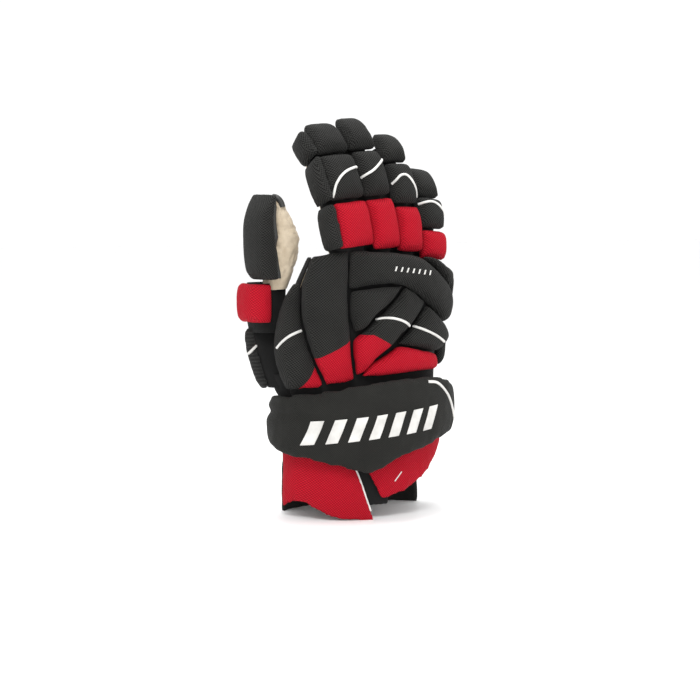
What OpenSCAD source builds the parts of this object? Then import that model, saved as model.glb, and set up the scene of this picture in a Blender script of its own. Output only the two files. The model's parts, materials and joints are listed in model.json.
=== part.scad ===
// Ice hockey player's glove for the right hand, standing on the open end of its cuff.
// Z runs from the cuff to the fingertips, -Y is the back of the hand, +Y the palm,
// -X the thumb side and +X the little finger side. All sizes are millimetres.

/* [Which piece] */
// piece to build: all, or the name of one node

/* [Cuff] */
// half width of the cuff roll across the hand
cuff_a = 87; // [80:1:92]
// half depth of the cuff roll, back to palm
cuff_b = 60; // [54:1:66]
// thickness of the padded cuff roll
cuff_roll_t = 9; // [6:0.5:10]

/* [Back of the hand] */
// thickness of the foam rolls on the back of the hand
back_roll_t = 13; // [9:0.5:15]
// clearance between a foam roll and the cloth under it
roll_lift = 1; // [0.6:0.1:2]
// thickness of the cloth and leather sheets
sheet_t = 1.6; // [1:0.1:2]

/* [Fingers] */
// thickness of the foam rolls on the fingers
finger_roll_t = 14; // [10:0.5:15]
// depth of a finger stall in front of its hinge line, towards the back
stall_back = 14; // [12:0.5:15]
// depth of a finger stall behind its hinge line, towards the palm
stall_palm = 11; // [8:0.5:12]
// wall thickness of a finger stall
stall_wall = 1.8; // [1.2:0.1:2.4]
// bend of the first finger joints at rest
curl_1 = 10; // [8:1:16]
// bend of the second finger joints at rest
curl_2 = 11; // [8:1:14]
// bend of the fingertip joints at rest
curl_3 = 18; // [10:1:20]

/* [Thumb] */
// length of the upper thumb piece
thumb_len = 80; // [74:1:84]
// width of the thumb across its nail
thumb_w = 31; // [28:1:32]
// depth of the thumb from nail to pad
thumb_d = 28; // [24:1:30]

/* [Hidden] */
// from the middle of the wrist to the middle of the whole outline
to_middle = [7.1, 2.1, 0];
// hinge lines across all four fingers share this turn about Z
finger_turn = 13;
// a flexed joint closes this much on each side of its hinge plane
notch_half = 25.5;
// finger: x and y of the roll face, z of the hinge, splay, three lengths, roll width
index_f = [-15.4, -48, 237, 5.4, 39.5, 39, 32.5, 33.5];
middle_f = [15.6, -42, 235, 4.6, 44, 40.2, 35, 27];
ring_f = [41.4, -35.5, 231.5, 0, 40, 35.8, 30, 24.5];
pinky_f = [67.1, -27.5, 224, -5, 25, 25.5, 31, 26.5];
hinge_depth = stall_back + finger_roll_t + 1;
thumb_foot = [-83, 15, 172];
thumb_turn = -80;
thumb_base_len = 37;
// the upper thumb stands this far towards the pad and the palm of its base
thumb_step = [9.7, 6.2, 0];

// ---- curves and surfaces ----

function mix(a, b, s) = a + (b - a) * s;

// point at fraction s of a list of points
function along(line, s) =
  let (k = s * (len(line) - 1), i = min(floor(k), len(line) - 2))
  mix(line[i], line[i + 1], k - i);

// rounded swell of a stuffed roll: 0 at the border, 1 in the middle
function swell(s) = sqrt(max(0, 1 - pow(abs(2 * s - 1), 3)));

function sgn_pow(v, e) = sign(v) * pow(abs(v), e);

// section of the hand at height z, against turn t: -90 is the back, 180 the thumb side
hand_thumb_side = [[108, -70], [150, -74], [176, -71], [205, -64], [238, -50]];
hand_pinky_side = [[108, 72], [150, 74], [176, 77], [205, 82], [238, 85]];
hand_back = [[108, -38], [150, -38], [176, -37], [205, -35], [238, -31]];
hand_palm = [[108, 44], [150, 38], [176, 30], [205, 18], [238, 2]];
hand_arch = [[108, 2], [150, 3], [176, 4], [205, 6], [238, 9]];
hand_tilt = [[108, 0], [150, 2], [176, 3], [205, 5], [238, 6]];

function hand_point(t, z) =
  let (l = lookup(z, hand_thumb_side), r = lookup(z, hand_pinky_side),
       b = lookup(z, hand_back), p = lookup(z, hand_palm),
       u = sgn_pow(cos(t), 0.8), v = sgn_pow(sin(t), 0.8))
  [(l + r) / 2 + (r - l) / 2 * u,
   (b + p) / 2 + (p - b) / 2 * v + lookup(z, hand_arch) * u * u + lookup(z, hand_tilt) * u,
   z] + to_middle;

function hand_at(t, z, out) =
  let (n = cross(hand_point(t + 1, z) - hand_point(t - 1, z),
                 hand_point(t, z + 1) - hand_point(t, z - 1)))
  hand_point(t, z) + out * n / norm(n);

// oval wall of the cuff; out is measured from the face of the cuff roll
function cuff_at(t, z, out) =
  let (flare = 1 + 0.03 * (1 - z / 120))
  [3.5 + (cuff_a * flare + out) * cos(t), 2 + (cuff_b * flare + out) * sin(t), z] + to_middle;

// top edges of the back panel and the palm, which drop towards the little finger
back_top = [[-170, 228], [-90, 230], [-60, 226], [-40, 217], [-1, 209]];
palm_top = [[1, 205], [20, 206], [50, 212], [75, 222], [148, 225]];

// bulge of the thumb gusset from the back edge (s = 0) to the palm edge (s = 1)
gusset_reach = [[108, -92], [168, -124]];
gusset_edge = [[108, -176], [145, -185], [172, -196]];
function gusset_at(s, z, out) =
  let (a = hand_at(lookup(z, gusset_edge), z, out), b = hand_at(151, z, out),
       c = [lookup(z, gusset_reach) - out, 14, z] + to_middle)
  a * (1 - s) * (1 - s) + c * 2 * s * (1 - s) + b * s * s;

// ---- solids made of two point grids, joined round the border ----

module slab(outer, inner) {
  rows = len(outer);
  cols = len(outer[0]);
  n = rows * cols;
  last = (rows - 1) * cols;
  faces = concat(
    [for (i = [0 : rows - 2], j = [0 : cols - 2]) each
      let (k = i * cols + j) [[k, k + cols, k + cols + 1], [k, k + cols + 1, k + 1]]],
    [for (i = [0 : rows - 2], j = [0 : cols - 2]) each
      let (k = n + i * cols + j) [[k, k + cols + 1, k + cols], [k, k + 1, k + cols + 1]]],
    [for (j = [0 : cols - 2]) each
      [[j, j + 1, n + j], [j + 1, n + j + 1, n + j],
       [last + j, n + last + j, last + j + 1],
       [last + j + 1, n + last + j, n + last + j + 1]]],
    [for (i = [0 : rows - 2]) each
      let (a = i * cols, b = a + cols - 1)
      [[a, n + a, a + cols], [a + cols, n + a, n + a + cols],
       [b, b + cols, n + b], [b + cols, n + b + cols, n + b]]]);
  // the outer grid may run either way round, so its winding is read off one corner
  p = outer[0][0];
  right_way = cross(outer[1][0] - p, outer[0][1] - p) * (p - inner[0][0]) < 0;
  polyhedron(points = concat([for (r = outer) each r], [for (r = inner) each r]),
             faces = right_way ? faces : [for (f = faces) [f[2], f[1], f[0]]],
             convexity = 6);
}

// stuffed roll on the hand between two edge lines of [turn, height]
module hand_roll(edge_a, edge_b, thick = back_roll_t, rows = 8, cols = 8) {
  slab([for (i = [0 : rows]) [for (j = [0 : cols])
         let (q = mix(along(edge_a, j / cols), along(edge_b, j / cols), i / rows),
              h = 0.4 + 0.6 * swell(i / rows) * swell(j / cols))
         hand_at(q[0], q[1], roll_lift + thick * h)]],
       [for (i = [0 : rows]) [for (j = [0 : cols])
         let (q = mix(along(edge_a, j / cols), along(edge_b, j / cols), i / rows))
         hand_at(q[0], q[1], roll_lift)]]);
}

// sheet on the hand between two turns and two heights
module hand_sheet(t0, t1, z0, z1, out0, out1, cols = 20, rows = 6) {
  slab([for (j = [0 : cols]) [for (i = [0 : rows])
         hand_at(mix(t0, t1, j / cols), mix(z0, z1, i / rows), out1)]],
       [for (j = [0 : cols]) [for (i = [0 : rows])
         hand_at(mix(t0, t1, j / cols), mix(z0, z1, i / rows), out0)]]);
}

// sheet just under the hand surface, from z = 108 up to a top edge given against turn
module edged_sheet(t0, t1, top, cols) {
  function at(j, i, out) =
    let (t = mix(t0, t1, j / cols)) hand_at(t, mix(108, lookup(t, top), i / 7), out);
  slab([for (j = [0 : cols]) [for (i = [0 : 7]) at(j, i, 0)]],
       [for (j = [0 : cols]) [for (i = [0 : 7]) at(j, i, -sheet_t)]]);
}

// sheet on the cuff between a lower and an upper edge line of [turn, height]
module cuff_sheet(low, high, out0, out1, puff = 0, cols = 20, rows = 5) {
  slab([for (j = [0 : cols]) [for (i = [0 : rows])
         let (q = mix(along(low, j / cols), along(high, j / cols), i / rows))
         cuff_at(q[0], q[1], out1 - puff * (1 - swell(i / rows) * swell(j / cols)))]],
       [for (j = [0 : cols]) [for (i = [0 : rows])
         let (q = mix(along(low, j / cols), along(high, j / cols), i / rows))
         cuff_at(q[0], q[1], out0)]]);
}

// ---- finger pieces; the local frame has x across, y to the palm, z to the tip ----

// place children in the frame of segment k (0, 1, 2) of finger f
module on_finger(f, k) {
  translate([f[0], f[1], f[2]] + to_middle)
    rotate([0, -f[3], 0]) rotate([0, 0, finger_turn]) translate([0, hinge_depth, 0])
      rotate([-curl_1, 0, 0])
        translate([0, 0, k > 0 ? f[4] : 0]) rotate([k > 0 ? -curl_2 : 0, 0, 0])
          translate([0, 0, k > 1 ? f[5] : 0]) rotate([k > 1 ? -curl_3 : 0, 0, 0])
            children();
}

// half of the rest bend at the lower and upper hinge of segment k
function half_bend(k) = [curl_1, curl_2, curl_3, 0][k] / 2;

// lowest and highest z of segment k at depth y, from the hinge planes
function seg_low(k, y) =
  y < 0 ? 0.35 - y * 0.055 + y * tan(half_bend(k))
        : 0.35 + y * tan(half_bend(k) + (k == 2 ? notch_half / 2 : notch_half));
function seg_high(k, y, long) =
  k == 2 ? long
  : y < 0 ? long - 0.35 + y * 0.055 - y * tan(half_bend(k + 1))
          : long - 0.35 - y * tan(half_bend(k + 1) + (k == 1 ? notch_half / 2 : notch_half));

// rounded section of a stall, grown by g
function stall_section(w, g) =
  [for (a = [0 : 18 : 359])
    [(w / 2 + g) * sgn_pow(cos(a), 0.7),
     (stall_palm - stall_back) / 2 + ((stall_palm + stall_back) / 2 + g) * sgn_pow(sin(a), 0.7)]];

module stall(f, k) {
  w = f[7] - 2.6;
  long = f[4 + k];
  b = -stall_back - 1;
  p = stall_palm + 1;
  side = k == 2
    ? [[b, seg_low(k, b)], [0, seg_low(k, 0)], [p, seg_low(k, p)],
       [p, long - 14], [p - 9, long - 5], [b + 7, long - 5], [b, long - 9]]
    : [[b, seg_low(k, b)], [0, seg_low(k, 0)], [p, seg_low(k, p)],
       [p, seg_high(k, p, long)], [0, seg_high(k, 0, long)], [b, seg_high(k, b, long)]];
  intersection() {
    difference() {
      translate([0, 0, -10]) linear_extrude(long + 20) polygon(stall_section(w, 0));
      translate([0, 0, -11]) linear_extrude(k == 2 ? long + 6 - 3 * stall_wall : long + 22)
        polygon(stall_section(w, -stall_wall));
    }
    rotate([90, 0, 90]) translate([0, 0, -w]) linear_extrude(2 * w) polygon(side);
  }
}

// stuffed roll over the back of segment k
module finger_roll(f, k) {
  w = f[7];
  long = f[4 + k];
  rows = 8;
  cols = 7;
  slab([for (i = [0 : rows]) [for (j = [0 : cols])
         let (nose = k == 2 ? 1 - 0.7 * pow(i / rows, 3) : 1,
              h = 0.42 + 0.58 * swell(i / rows) * swell(j / cols) * nose,
              y = -stall_back - 1 - (finger_roll_t) * h,
              z = mix(seg_low(k, y), seg_high(k, y, long), i / rows))
         [w * (0.5 - j / cols), y, z]]],
       [for (i = [0 : rows]) [for (j = [0 : cols])
         let (y = -stall_back - 1)
         [w * (0.5 - j / cols), y, mix(seg_low(k, y), seg_high(k, y, long), i / rows)]]]);
}

// stuffed roll on the thumb side of index segment k
module side_roll(f, k) {
  long = f[4 + k];
  face = -f[7] / 2 - 0.8;
  rows = 7;
  cols = 6;
  reach = k == 2 ? 0.8 : 1;
  function at(i, j, thick) =
    let (y = mix(2, -stall_back - 9, j / cols),
         h = 0.42 + 0.58 * swell(i / rows) * swell(j / cols))
    [face - thick * h, y, mix(seg_low(k, y), seg_high(k, y, long), reach * i / rows)];
  slab([for (i = [0 : rows]) [for (j = [0 : cols]) at(i, j, 7 + 4 * j / cols)]],
       [for (i = [0 : rows]) [for (j = [0 : cols]) at(i, j, 0)]]);
}

// ---- thumb pieces; local x towards the back of the hand, y to the pad, z to the tip ----

module on_thumb(up = 0) {
  translate(thumb_foot + to_middle) rotate([0, 0, thumb_turn])
    translate(up > 0 ? thumb_step + [0, 0, up] : [0, 0, 0]) children();
}

function thumb_section(w, d, g) =
  [for (a = [0 : 15 : 359]) [(w / 2 + g) * sgn_pow(cos(a), 0.8), (d / 2 + g) * sgn_pow(sin(a), 0.8)]];

// tube of the thumb between two local heights, open below and closed above if capped
module thumb_tube(w, d, z0, z1, capped) {
  difference() {
    translate([0, 0, z0]) linear_extrude(z1 - z0) polygon(thumb_section(w, d, 0));
    translate([0, 0, z0 - 1]) linear_extrude(z1 - z0 + (capped ? 1 - 5 : 2))
      polygon(thumb_section(w, d, -sheet_t));
  }
}

// stuffed roll round the nail side of the thumb, between turns a0 and a1 (-90 is the nail)
module thumb_wrap(w, d, a0, a1, z0, z1, lift, thick, nose = 0) {
  rows = 9;
  cols = 8;
  function ring(a, g) = [(w / 2 + g) * sgn_pow(cos(a), 0.8), (d / 2 + g) * sgn_pow(sin(a), 0.8)];
  slab([for (i = [0 : rows]) [for (j = [0 : cols])
         let (h = 0.4 + 0.6 * swell(i / rows) * swell(j / cols) * (1 - nose * pow(i / rows, 4)),
              q = ring(mix(a0, a1, j / cols), lift + thick * h))
         [q[0], q[1], mix(z0, z1, i / rows)]]],
       [for (i = [0 : rows]) [for (j = [0 : cols])
         let (q = ring(mix(a0, a1, j / cols), lift)) [q[0], q[1], mix(z0, z1, i / rows)]]]);
}

// ---- back of the hand ----

module index_back_roll() color("#16161a")
  hand_roll([[-161, 229], [-158, 205], [-149, 178], [-137, 150], [-125, 121]],
            [[-121.5, 235], [-116.5, 215], [-112.5, 190], [-107.5, 162], [-104.5, 124]]);

module knuckle_roll() color("#16161a")
  hand_roll([[-119.5, 235.5], [-93, 234], [-72, 230], [-34, 205], [-19, 193], [-16, 173]],
            [[-113, 203], [-98, 206], [-83, 207], [-54, 187], [-36, 174], [-26, 171.5]], cols = 12);

module pinky_knuckle_roll() color("#16161a")
  hand_roll([[-67, 230], [-55, 227.5], [-46, 222], [-18, 217]],
            [[-65, 227], [-48, 217], [-37, 209], [-20, 200]]);

module triangle_roll() color("#16161a")
  hand_roll([[-111, 201], [-109, 183], [-104, 166]], [[-82, 204.5], [-89.5, 187], [-98.5, 169]]);

module diagonal_roll() color("#16161a")
  hand_roll([[-79.5, 203], [-88, 185], [-96.5, 168], [-104, 159], [-102, 128]],
            [[-60.5, 189], [-71.5, 172], [-82.5, 156], [-90.5, 144], [-97, 132]]);

module pinky_diagonal_roll() color("#16161a")
  hand_roll([[-57.5, 186.5], [-69, 169], [-80, 154]], [[-29, 166], [-18, 156], [-43, 145]]);

module wrist_roll() color("#b5121b")
  hand_roll([[-98.5, 127], [-70, 128.5], [-38, 130]], [[-93, 138], [-80, 151.5], [-40, 142.5]]);

module thumb_side_roll() color("#16161a")
  hand_roll([[-176, 206], [-179, 170], [-178, 145], [-169, 115]],
            [[-163.5, 206], [-153, 178], [-139.5, 150], [-127.5, 119.5]], thick = back_roll_t - 1);

module pinky_side_roll() color("#b5121b")
  hand_roll([[-14, 172], [-15, 195], [-16, 218]], [[14, 172], [14, 195], [12, 216]],
            thick = back_roll_t - 2);

module pinky_heel_roll() color("#16161a")
  hand_roll([[-15, 132], [-14, 150], [-13, 167]], [[16, 132], [16, 150], [15, 167]],
            thick = back_roll_t - 2);

module ribbed_side_roll() color("#1d1d20")
  slab([for (i = [0 : 8]) [for (j = [0 : 7])
         gusset_at(mix(0.3, 0.66, j / 7), mix(115, 167, i / 8),
                   sheet_t + 2.5 + 7 * (0.5 + 0.5 * swell(i / 8) * swell(j / 7)))]],
       [for (i = [0 : 8]) [for (j = [0 : 7])
         gusset_at(mix(0.3, 0.66, j / 7), mix(115, 167, i / 8), sheet_t + 2.5)]]);

module back_panel() color("#202024") edged_sheet(-170, -1, back_top, cols = 26);

module back_insert() color("#e8e6df")
  hand_sheet(-140, -30, 128, 222, -sheet_t - 2.6, -sheet_t - 0.9, cols = 14, rows = 4);

// ---- palm ----

module palm_panel() color("#d8cdb4") edged_sheet(1, 148, palm_top, cols = 24);

module palm_patch() color("#c9bb9c")
  hand_sheet(28, 132, 128, 214, 0.8, 0.8 + sheet_t, cols = 16, rows = 5);

module crotch_panel() color("#d8cdb4")
  hand_sheet(171, 188, 182, 231, -sheet_t, 0, cols = 6, rows = 5);

module thumb_gusset() color("#1d1d20")
  slab([for (j = [0 : 12]) [for (i = [0 : 5])
         gusset_at(j / 12, mix(114.5, 168, i / 5), sheet_t)]],
       [for (j = [0 : 12]) [for (i = [0 : 5]) gusset_at(j / 12, mix(114.5, 168, i / 5), 0)]]);

// ---- fingers ----

module index_proximal_roll() color("#b5121b") on_finger(index_f, 0) finger_roll(index_f, 0);
module index_middle_roll() color("#16161a") on_finger(index_f, 1) finger_roll(index_f, 1);
module index_tip_roll() color("#16161a") on_finger(index_f, 2) finger_roll(index_f, 2);
module index_side_proximal_roll() color("#16161a") on_finger(index_f, 0) side_roll(index_f, 0);
module index_side_middle_roll() color("#16161a") on_finger(index_f, 1) side_roll(index_f, 1);
module index_side_tip_roll() color("#16161a") on_finger(index_f, 2) side_roll(index_f, 2);
module middle_proximal_roll() color("#b5121b") on_finger(middle_f, 0) finger_roll(middle_f, 0);
module middle_middle_roll() color("#16161a") on_finger(middle_f, 1) finger_roll(middle_f, 1);
module middle_tip_roll() color("#16161a") on_finger(middle_f, 2) finger_roll(middle_f, 2);
module ring_proximal_roll() color("#b5121b") on_finger(ring_f, 0) finger_roll(ring_f, 0);
module ring_middle_roll() color("#16161a") on_finger(ring_f, 1) finger_roll(ring_f, 1);
module ring_tip_roll() color("#16161a") on_finger(ring_f, 2) finger_roll(ring_f, 2);
module pinky_proximal_roll() color("#b5121b") on_finger(pinky_f, 0) finger_roll(pinky_f, 0);
module pinky_middle_roll() color("#16161a") on_finger(pinky_f, 1) finger_roll(pinky_f, 1);
module pinky_tip_roll() color("#16161a") on_finger(pinky_f, 2) finger_roll(pinky_f, 2);

module index_proximal_stall() color("#2a2a2e") on_finger(index_f, 0) stall(index_f, 0);
module index_middle_stall() color("#2a2a2e") on_finger(index_f, 1) stall(index_f, 1);
module index_tip_stall() color("#2a2a2e") on_finger(index_f, 2) stall(index_f, 2);
module middle_proximal_stall() color("#2a2a2e") on_finger(middle_f, 0) stall(middle_f, 0);
module middle_middle_stall() color("#2a2a2e") on_finger(middle_f, 1) stall(middle_f, 1);
module middle_tip_stall() color("#2a2a2e") on_finger(middle_f, 2) stall(middle_f, 2);
module ring_proximal_stall() color("#2a2a2e") on_finger(ring_f, 0) stall(ring_f, 0);
module ring_middle_stall() color("#2a2a2e") on_finger(ring_f, 1) stall(ring_f, 1);
module ring_tip_stall() color("#2a2a2e") on_finger(ring_f, 2) stall(ring_f, 2);
module pinky_proximal_stall() color("#2a2a2e") on_finger(pinky_f, 0) stall(pinky_f, 0);
module pinky_middle_stall() color("#2a2a2e") on_finger(pinky_f, 1) stall(pinky_f, 1);
module pinky_tip_stall() color("#2a2a2e") on_finger(pinky_f, 2) stall(pinky_f, 2);

// ---- thumb ----

module thumb_base_stall() color("#1d1d20")
  on_thumb() thumb_tube(33, 32, 2.5, thumb_base_len - 2.5, false);

module thumb_base_roll() color("#b5121b")
  on_thumb() thumb_wrap(33, 32, -150, -14, 1.5, thumb_base_len - 1.4, roll_lift, 7.5);

module thumb_stall() color("#d8cdb4")
  on_thumb(thumb_base_len) thumb_tube(thumb_w, thumb_d, 2.3, thumb_len, true);

module thumb_roll() color("#16161a")
  on_thumb(thumb_base_len)
    thumb_wrap(thumb_w, thumb_d, -158, -30, 1.5, thumb_len - 4, roll_lift + 2.4, 10, 0.5);

module thumb_lock() color("#3c3c40")
  on_thumb(thumb_base_len)
    thumb_wrap(thumb_w, thumb_d, -140, -40, 4, thumb_len - 10, roll_lift, 1.2);

// ---- cuff ----

module cuff_roll() color("#16161a")
  cuff_sheet([[-202, 68], [-180, 62], [-160, 56], [-140, 54], [-113, 46], [-101, 41],
              [-76, 57], [-50, 66], [-20, 72], [14, 78]],
             [[-202, 105], [-180, 110], [-160, 111.5], [-140, 113.5], [-110, 120.5], [-90, 124.5],
              [-62, 126], [-40, 122], [-15, 114], [14, 110]],
             -cuff_roll_t, 0, puff = 3, cols = 27, rows = 8);

module cuff_insert() color("#e8e6df")
  cuff_sheet([[-185, 70], [-140, 64], [-100, 54], [-60, 68], [0, 80]],
             [[-185, 102], [-100, 108], [-40, 110], [0, 102]],
             -cuff_roll_t - 2.4, -cuff_roll_t - 0.8, cols = 20, rows = 3);

module cuff_flap_thumb() color("#b5121b")
  cuff_sheet([[-183, 8], [-168, 14], [-152, 16], [-138, 9], [-124, 2], [-110, 0], [-97, 0]],
             [[-183, 64], [-140, 62], [-122, 58], [-112, 53]],
             -cuff_roll_t - 7, -cuff_roll_t - 3.2, puff = 1, cols = 16, rows = 6);

module cuff_flap_pinky() color("#b5121b")
  cuff_sheet([[-91, 18], [-75, 23], [-58, 33], [-40, 47], [-18, 66]],
             [[-104, 50], [-80, 62], [-58, 72], [-40, 78], [-18, 84]],
             -cuff_roll_t - 7, -cuff_roll_t - 3.2, puff = 1, cols = 16, rows = 6);

module cuff_gusset() color("#1d1d20")
  cuff_sheet([[-106, 12], [-84, 12]], [[-122, 62], [-92, 64]],
             -cuff_roll_t - 10, -cuff_roll_t - 8, cols = 6, rows = 3);

module cuff_lining() color("#2a2a2e")
  cuff_sheet([[-205, 20], [-150, 16], [-80, 70], [-10, 80], [20, 60]],
             [[-205, 100], [-100, 102], [20, 100]],
             -cuff_roll_t - 13, -cuff_roll_t - 11.2, cols = 24, rows = 3);

module cuff_palm_panel() color("#202024")
  cuff_sheet([[28, 0], [90, 0], [150, 0]], [[28, 88], [90, 84], [150, 88]],
             -cuff_roll_t - 6, -cuff_roll_t, puff = 2, cols = 18, rows = 6);

index_back_roll();
knuckle_roll();
pinky_knuckle_roll();
triangle_roll();
diagonal_roll();
pinky_diagonal_roll();
wrist_roll();
thumb_side_roll();
pinky_side_roll();
pinky_heel_roll();
ribbed_side_roll();
back_panel();
back_insert();
palm_panel();
palm_patch();
crotch_panel();
thumb_gusset();
index_proximal_roll();
index_middle_roll();
index_tip_roll();
index_side_proximal_roll();
index_side_middle_roll();
index_side_tip_roll();
middle_proximal_roll();
middle_middle_roll();
middle_tip_roll();
ring_proximal_roll();
ring_middle_roll();
ring_tip_roll();
pinky_proximal_roll();
pinky_middle_roll();
pinky_tip_roll();
index_proximal_stall();
index_middle_stall();
index_tip_stall();
middle_proximal_stall();
middle_middle_stall();
middle_tip_stall();
ring_proximal_stall();
ring_middle_stall();
ring_tip_stall();
pinky_proximal_stall();
pinky_middle_stall();
pinky_tip_stall();
thumb_base_stall();
thumb_base_roll();
thumb_stall();
thumb_roll();
thumb_lock();
cuff_roll();
cuff_insert();
cuff_lining();
cuff_flap_thumb();
cuff_flap_pinky();
cuff_gusset();
cuff_palm_panel();
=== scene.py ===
"""Looks of an ice hockey player's glove (right hand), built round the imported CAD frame.

Lengths are metres in the row frame: +Z to the fingertips, -Y out of the back of the
hand, -X to the thumb side.
"""
import json
import math

import bmesh
import bpy
import numpy as np
from mathutils import Matrix, Vector, noise
from mathutils.bvhtree import BVHTree


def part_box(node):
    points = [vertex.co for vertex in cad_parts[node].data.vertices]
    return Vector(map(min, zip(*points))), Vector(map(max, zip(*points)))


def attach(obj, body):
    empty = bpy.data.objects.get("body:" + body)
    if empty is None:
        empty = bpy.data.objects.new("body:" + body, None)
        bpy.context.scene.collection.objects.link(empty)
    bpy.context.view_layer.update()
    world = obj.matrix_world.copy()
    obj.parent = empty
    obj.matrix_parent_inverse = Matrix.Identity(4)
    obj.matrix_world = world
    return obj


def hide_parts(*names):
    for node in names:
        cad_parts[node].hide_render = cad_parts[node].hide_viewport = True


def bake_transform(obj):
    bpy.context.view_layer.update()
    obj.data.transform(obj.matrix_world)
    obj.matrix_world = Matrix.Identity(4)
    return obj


MM = 0.001
FINGERS = ("index", "middle", "ring", "pinky")
SEGMENTS = ("proximal", "middle", "tip")
HINGES = ("knuckle", "middle_joint", "tip_joint")
KNUCKLE_BEND = math.radians(10)
TIP_BEND = math.radians(18)

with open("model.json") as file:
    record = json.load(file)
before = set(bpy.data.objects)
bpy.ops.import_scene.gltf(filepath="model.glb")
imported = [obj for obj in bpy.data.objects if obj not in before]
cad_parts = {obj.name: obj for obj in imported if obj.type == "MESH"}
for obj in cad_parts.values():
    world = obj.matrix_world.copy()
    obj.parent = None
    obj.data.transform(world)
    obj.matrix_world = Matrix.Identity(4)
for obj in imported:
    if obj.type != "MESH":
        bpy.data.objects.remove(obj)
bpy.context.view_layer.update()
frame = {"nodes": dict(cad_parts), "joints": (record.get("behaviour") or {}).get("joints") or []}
nodes = frame["nodes"]
hinge_at = {j["name"]: Vector(j["pos_m"]) for j in frame["joints"]}
hinge_axis = {j["name"]: Vector(j["axis"]) for j in frame["joints"]}
CENTRE = Vector(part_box("back_panel")[0]).lerp(Vector(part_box("back_panel")[1]), 0.5)


# -------- camera

VIEW_AZIMUTH = math.radians(-24)
VIEW_ELEVATION = math.radians(5)
VIEW_DISTANCE = 1.6
LENS = 92.0
# a point in the glove, and how far left of it and below it the camera aims, in millimetres
VIEW_POINT = Vector((7.1, -2.9, 177))
AIM_LEFT = 9.8
AIM_DOWN = 30.4


def make_camera():
    back = Vector((math.sin(VIEW_AZIMUTH) * math.cos(VIEW_ELEVATION),
                   -math.cos(VIEW_AZIMUTH) * math.cos(VIEW_ELEVATION),
                   math.sin(VIEW_ELEVATION)))
    right = Vector((math.cos(VIEW_AZIMUTH), math.sin(VIEW_AZIMUTH), 0))
    up = back.cross(right)
    aim = VIEW_POINT * MM - right * AIM_LEFT * MM - up * AIM_DOWN * MM
    data = bpy.data.cameras.new("view")
    data.lens = LENS
    data.sensor_width = 36
    camera = bpy.data.objects.new("view", data)
    bpy.context.scene.collection.objects.link(camera)
    camera.matrix_world = Matrix.Translation(aim + back * VIEW_DISTANCE) @ Matrix(
        (right, up, back)).transposed().to_4x4()
    bpy.context.scene.camera = camera


make_camera()


# -------- materials

class Nodes:
    """Short hand for wiring a material's nodes."""

    def __init__(self, name):
        self.material = bpy.data.materials.new(name)
        self.material.use_nodes = True
        self.tree = self.material.node_tree
        self.shader = self.tree.nodes["Principled BSDF"]

    def add(self, kind, inputs=(), **settings):
        node = self.tree.nodes.new(kind)
        for key, value in settings.items():
            setattr(node, key, value)
        for key, value in dict(inputs).items():
            self.set(node, key, value)
        return node

    def set(self, node, key, value):
        if isinstance(value, bpy.types.NodeSocket):
            self.tree.links.new(value, node.inputs[key])
        else:
            node.inputs[key].default_value = value

    def math(self, operation, a, b=0.0, c=0.0):
        return self.add("ShaderNodeMath", {0: a, 1: b, 2: c}, operation=operation).outputs[0]

    def place(self):
        return self.add("ShaderNodeTexCoord").outputs["Object"]

    def wave(self, value, pitch):
        return self.math("SINE", self.math("MULTIPLY", value, 2 * math.pi / pitch))

    def noise(self, vector, scale, detail=3.0, roughness=0.5):
        return self.add("ShaderNodeTexNoise", {
            "Vector": vector, "Scale": scale, "Detail": detail, "Roughness": roughness,
        }).outputs["Fac"]

    def mix(self, fac, a, b):
        node = self.add("ShaderNodeMix", data_type="RGBA")
        self.set(node, 0, fac)
        self.set(node, 6, a)
        self.set(node, 7, b)
        return node.outputs[2]

    def ramp(self, value, low, high):
        return self.add("ShaderNodeMapRange", {
            "Value": value, "From Min": low, "From Max": high}).outputs[0]

    def bump(self, height, distance, strength=1.0, under=None):
        inputs = {"Height": height, "Distance": distance, "Strength": strength}
        if under is not None:
            inputs["Normal"] = under
        return self.add("ShaderNodeBump", inputs).outputs[0]

    def finish(self, color, roughness, normal, **fixed):
        self.set(self.shader, "Base Color", color)
        self.set(self.shader, "Roughness", roughness)
        if normal is not None:
            self.set(self.shader, "Normal", normal)
        for key, value in fixed.items():
            self.shader.inputs[key.replace("_", " ")].default_value = value
        return self.material


def rgb(r, g, b):
    return (r, g, b, 1.0)


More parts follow.
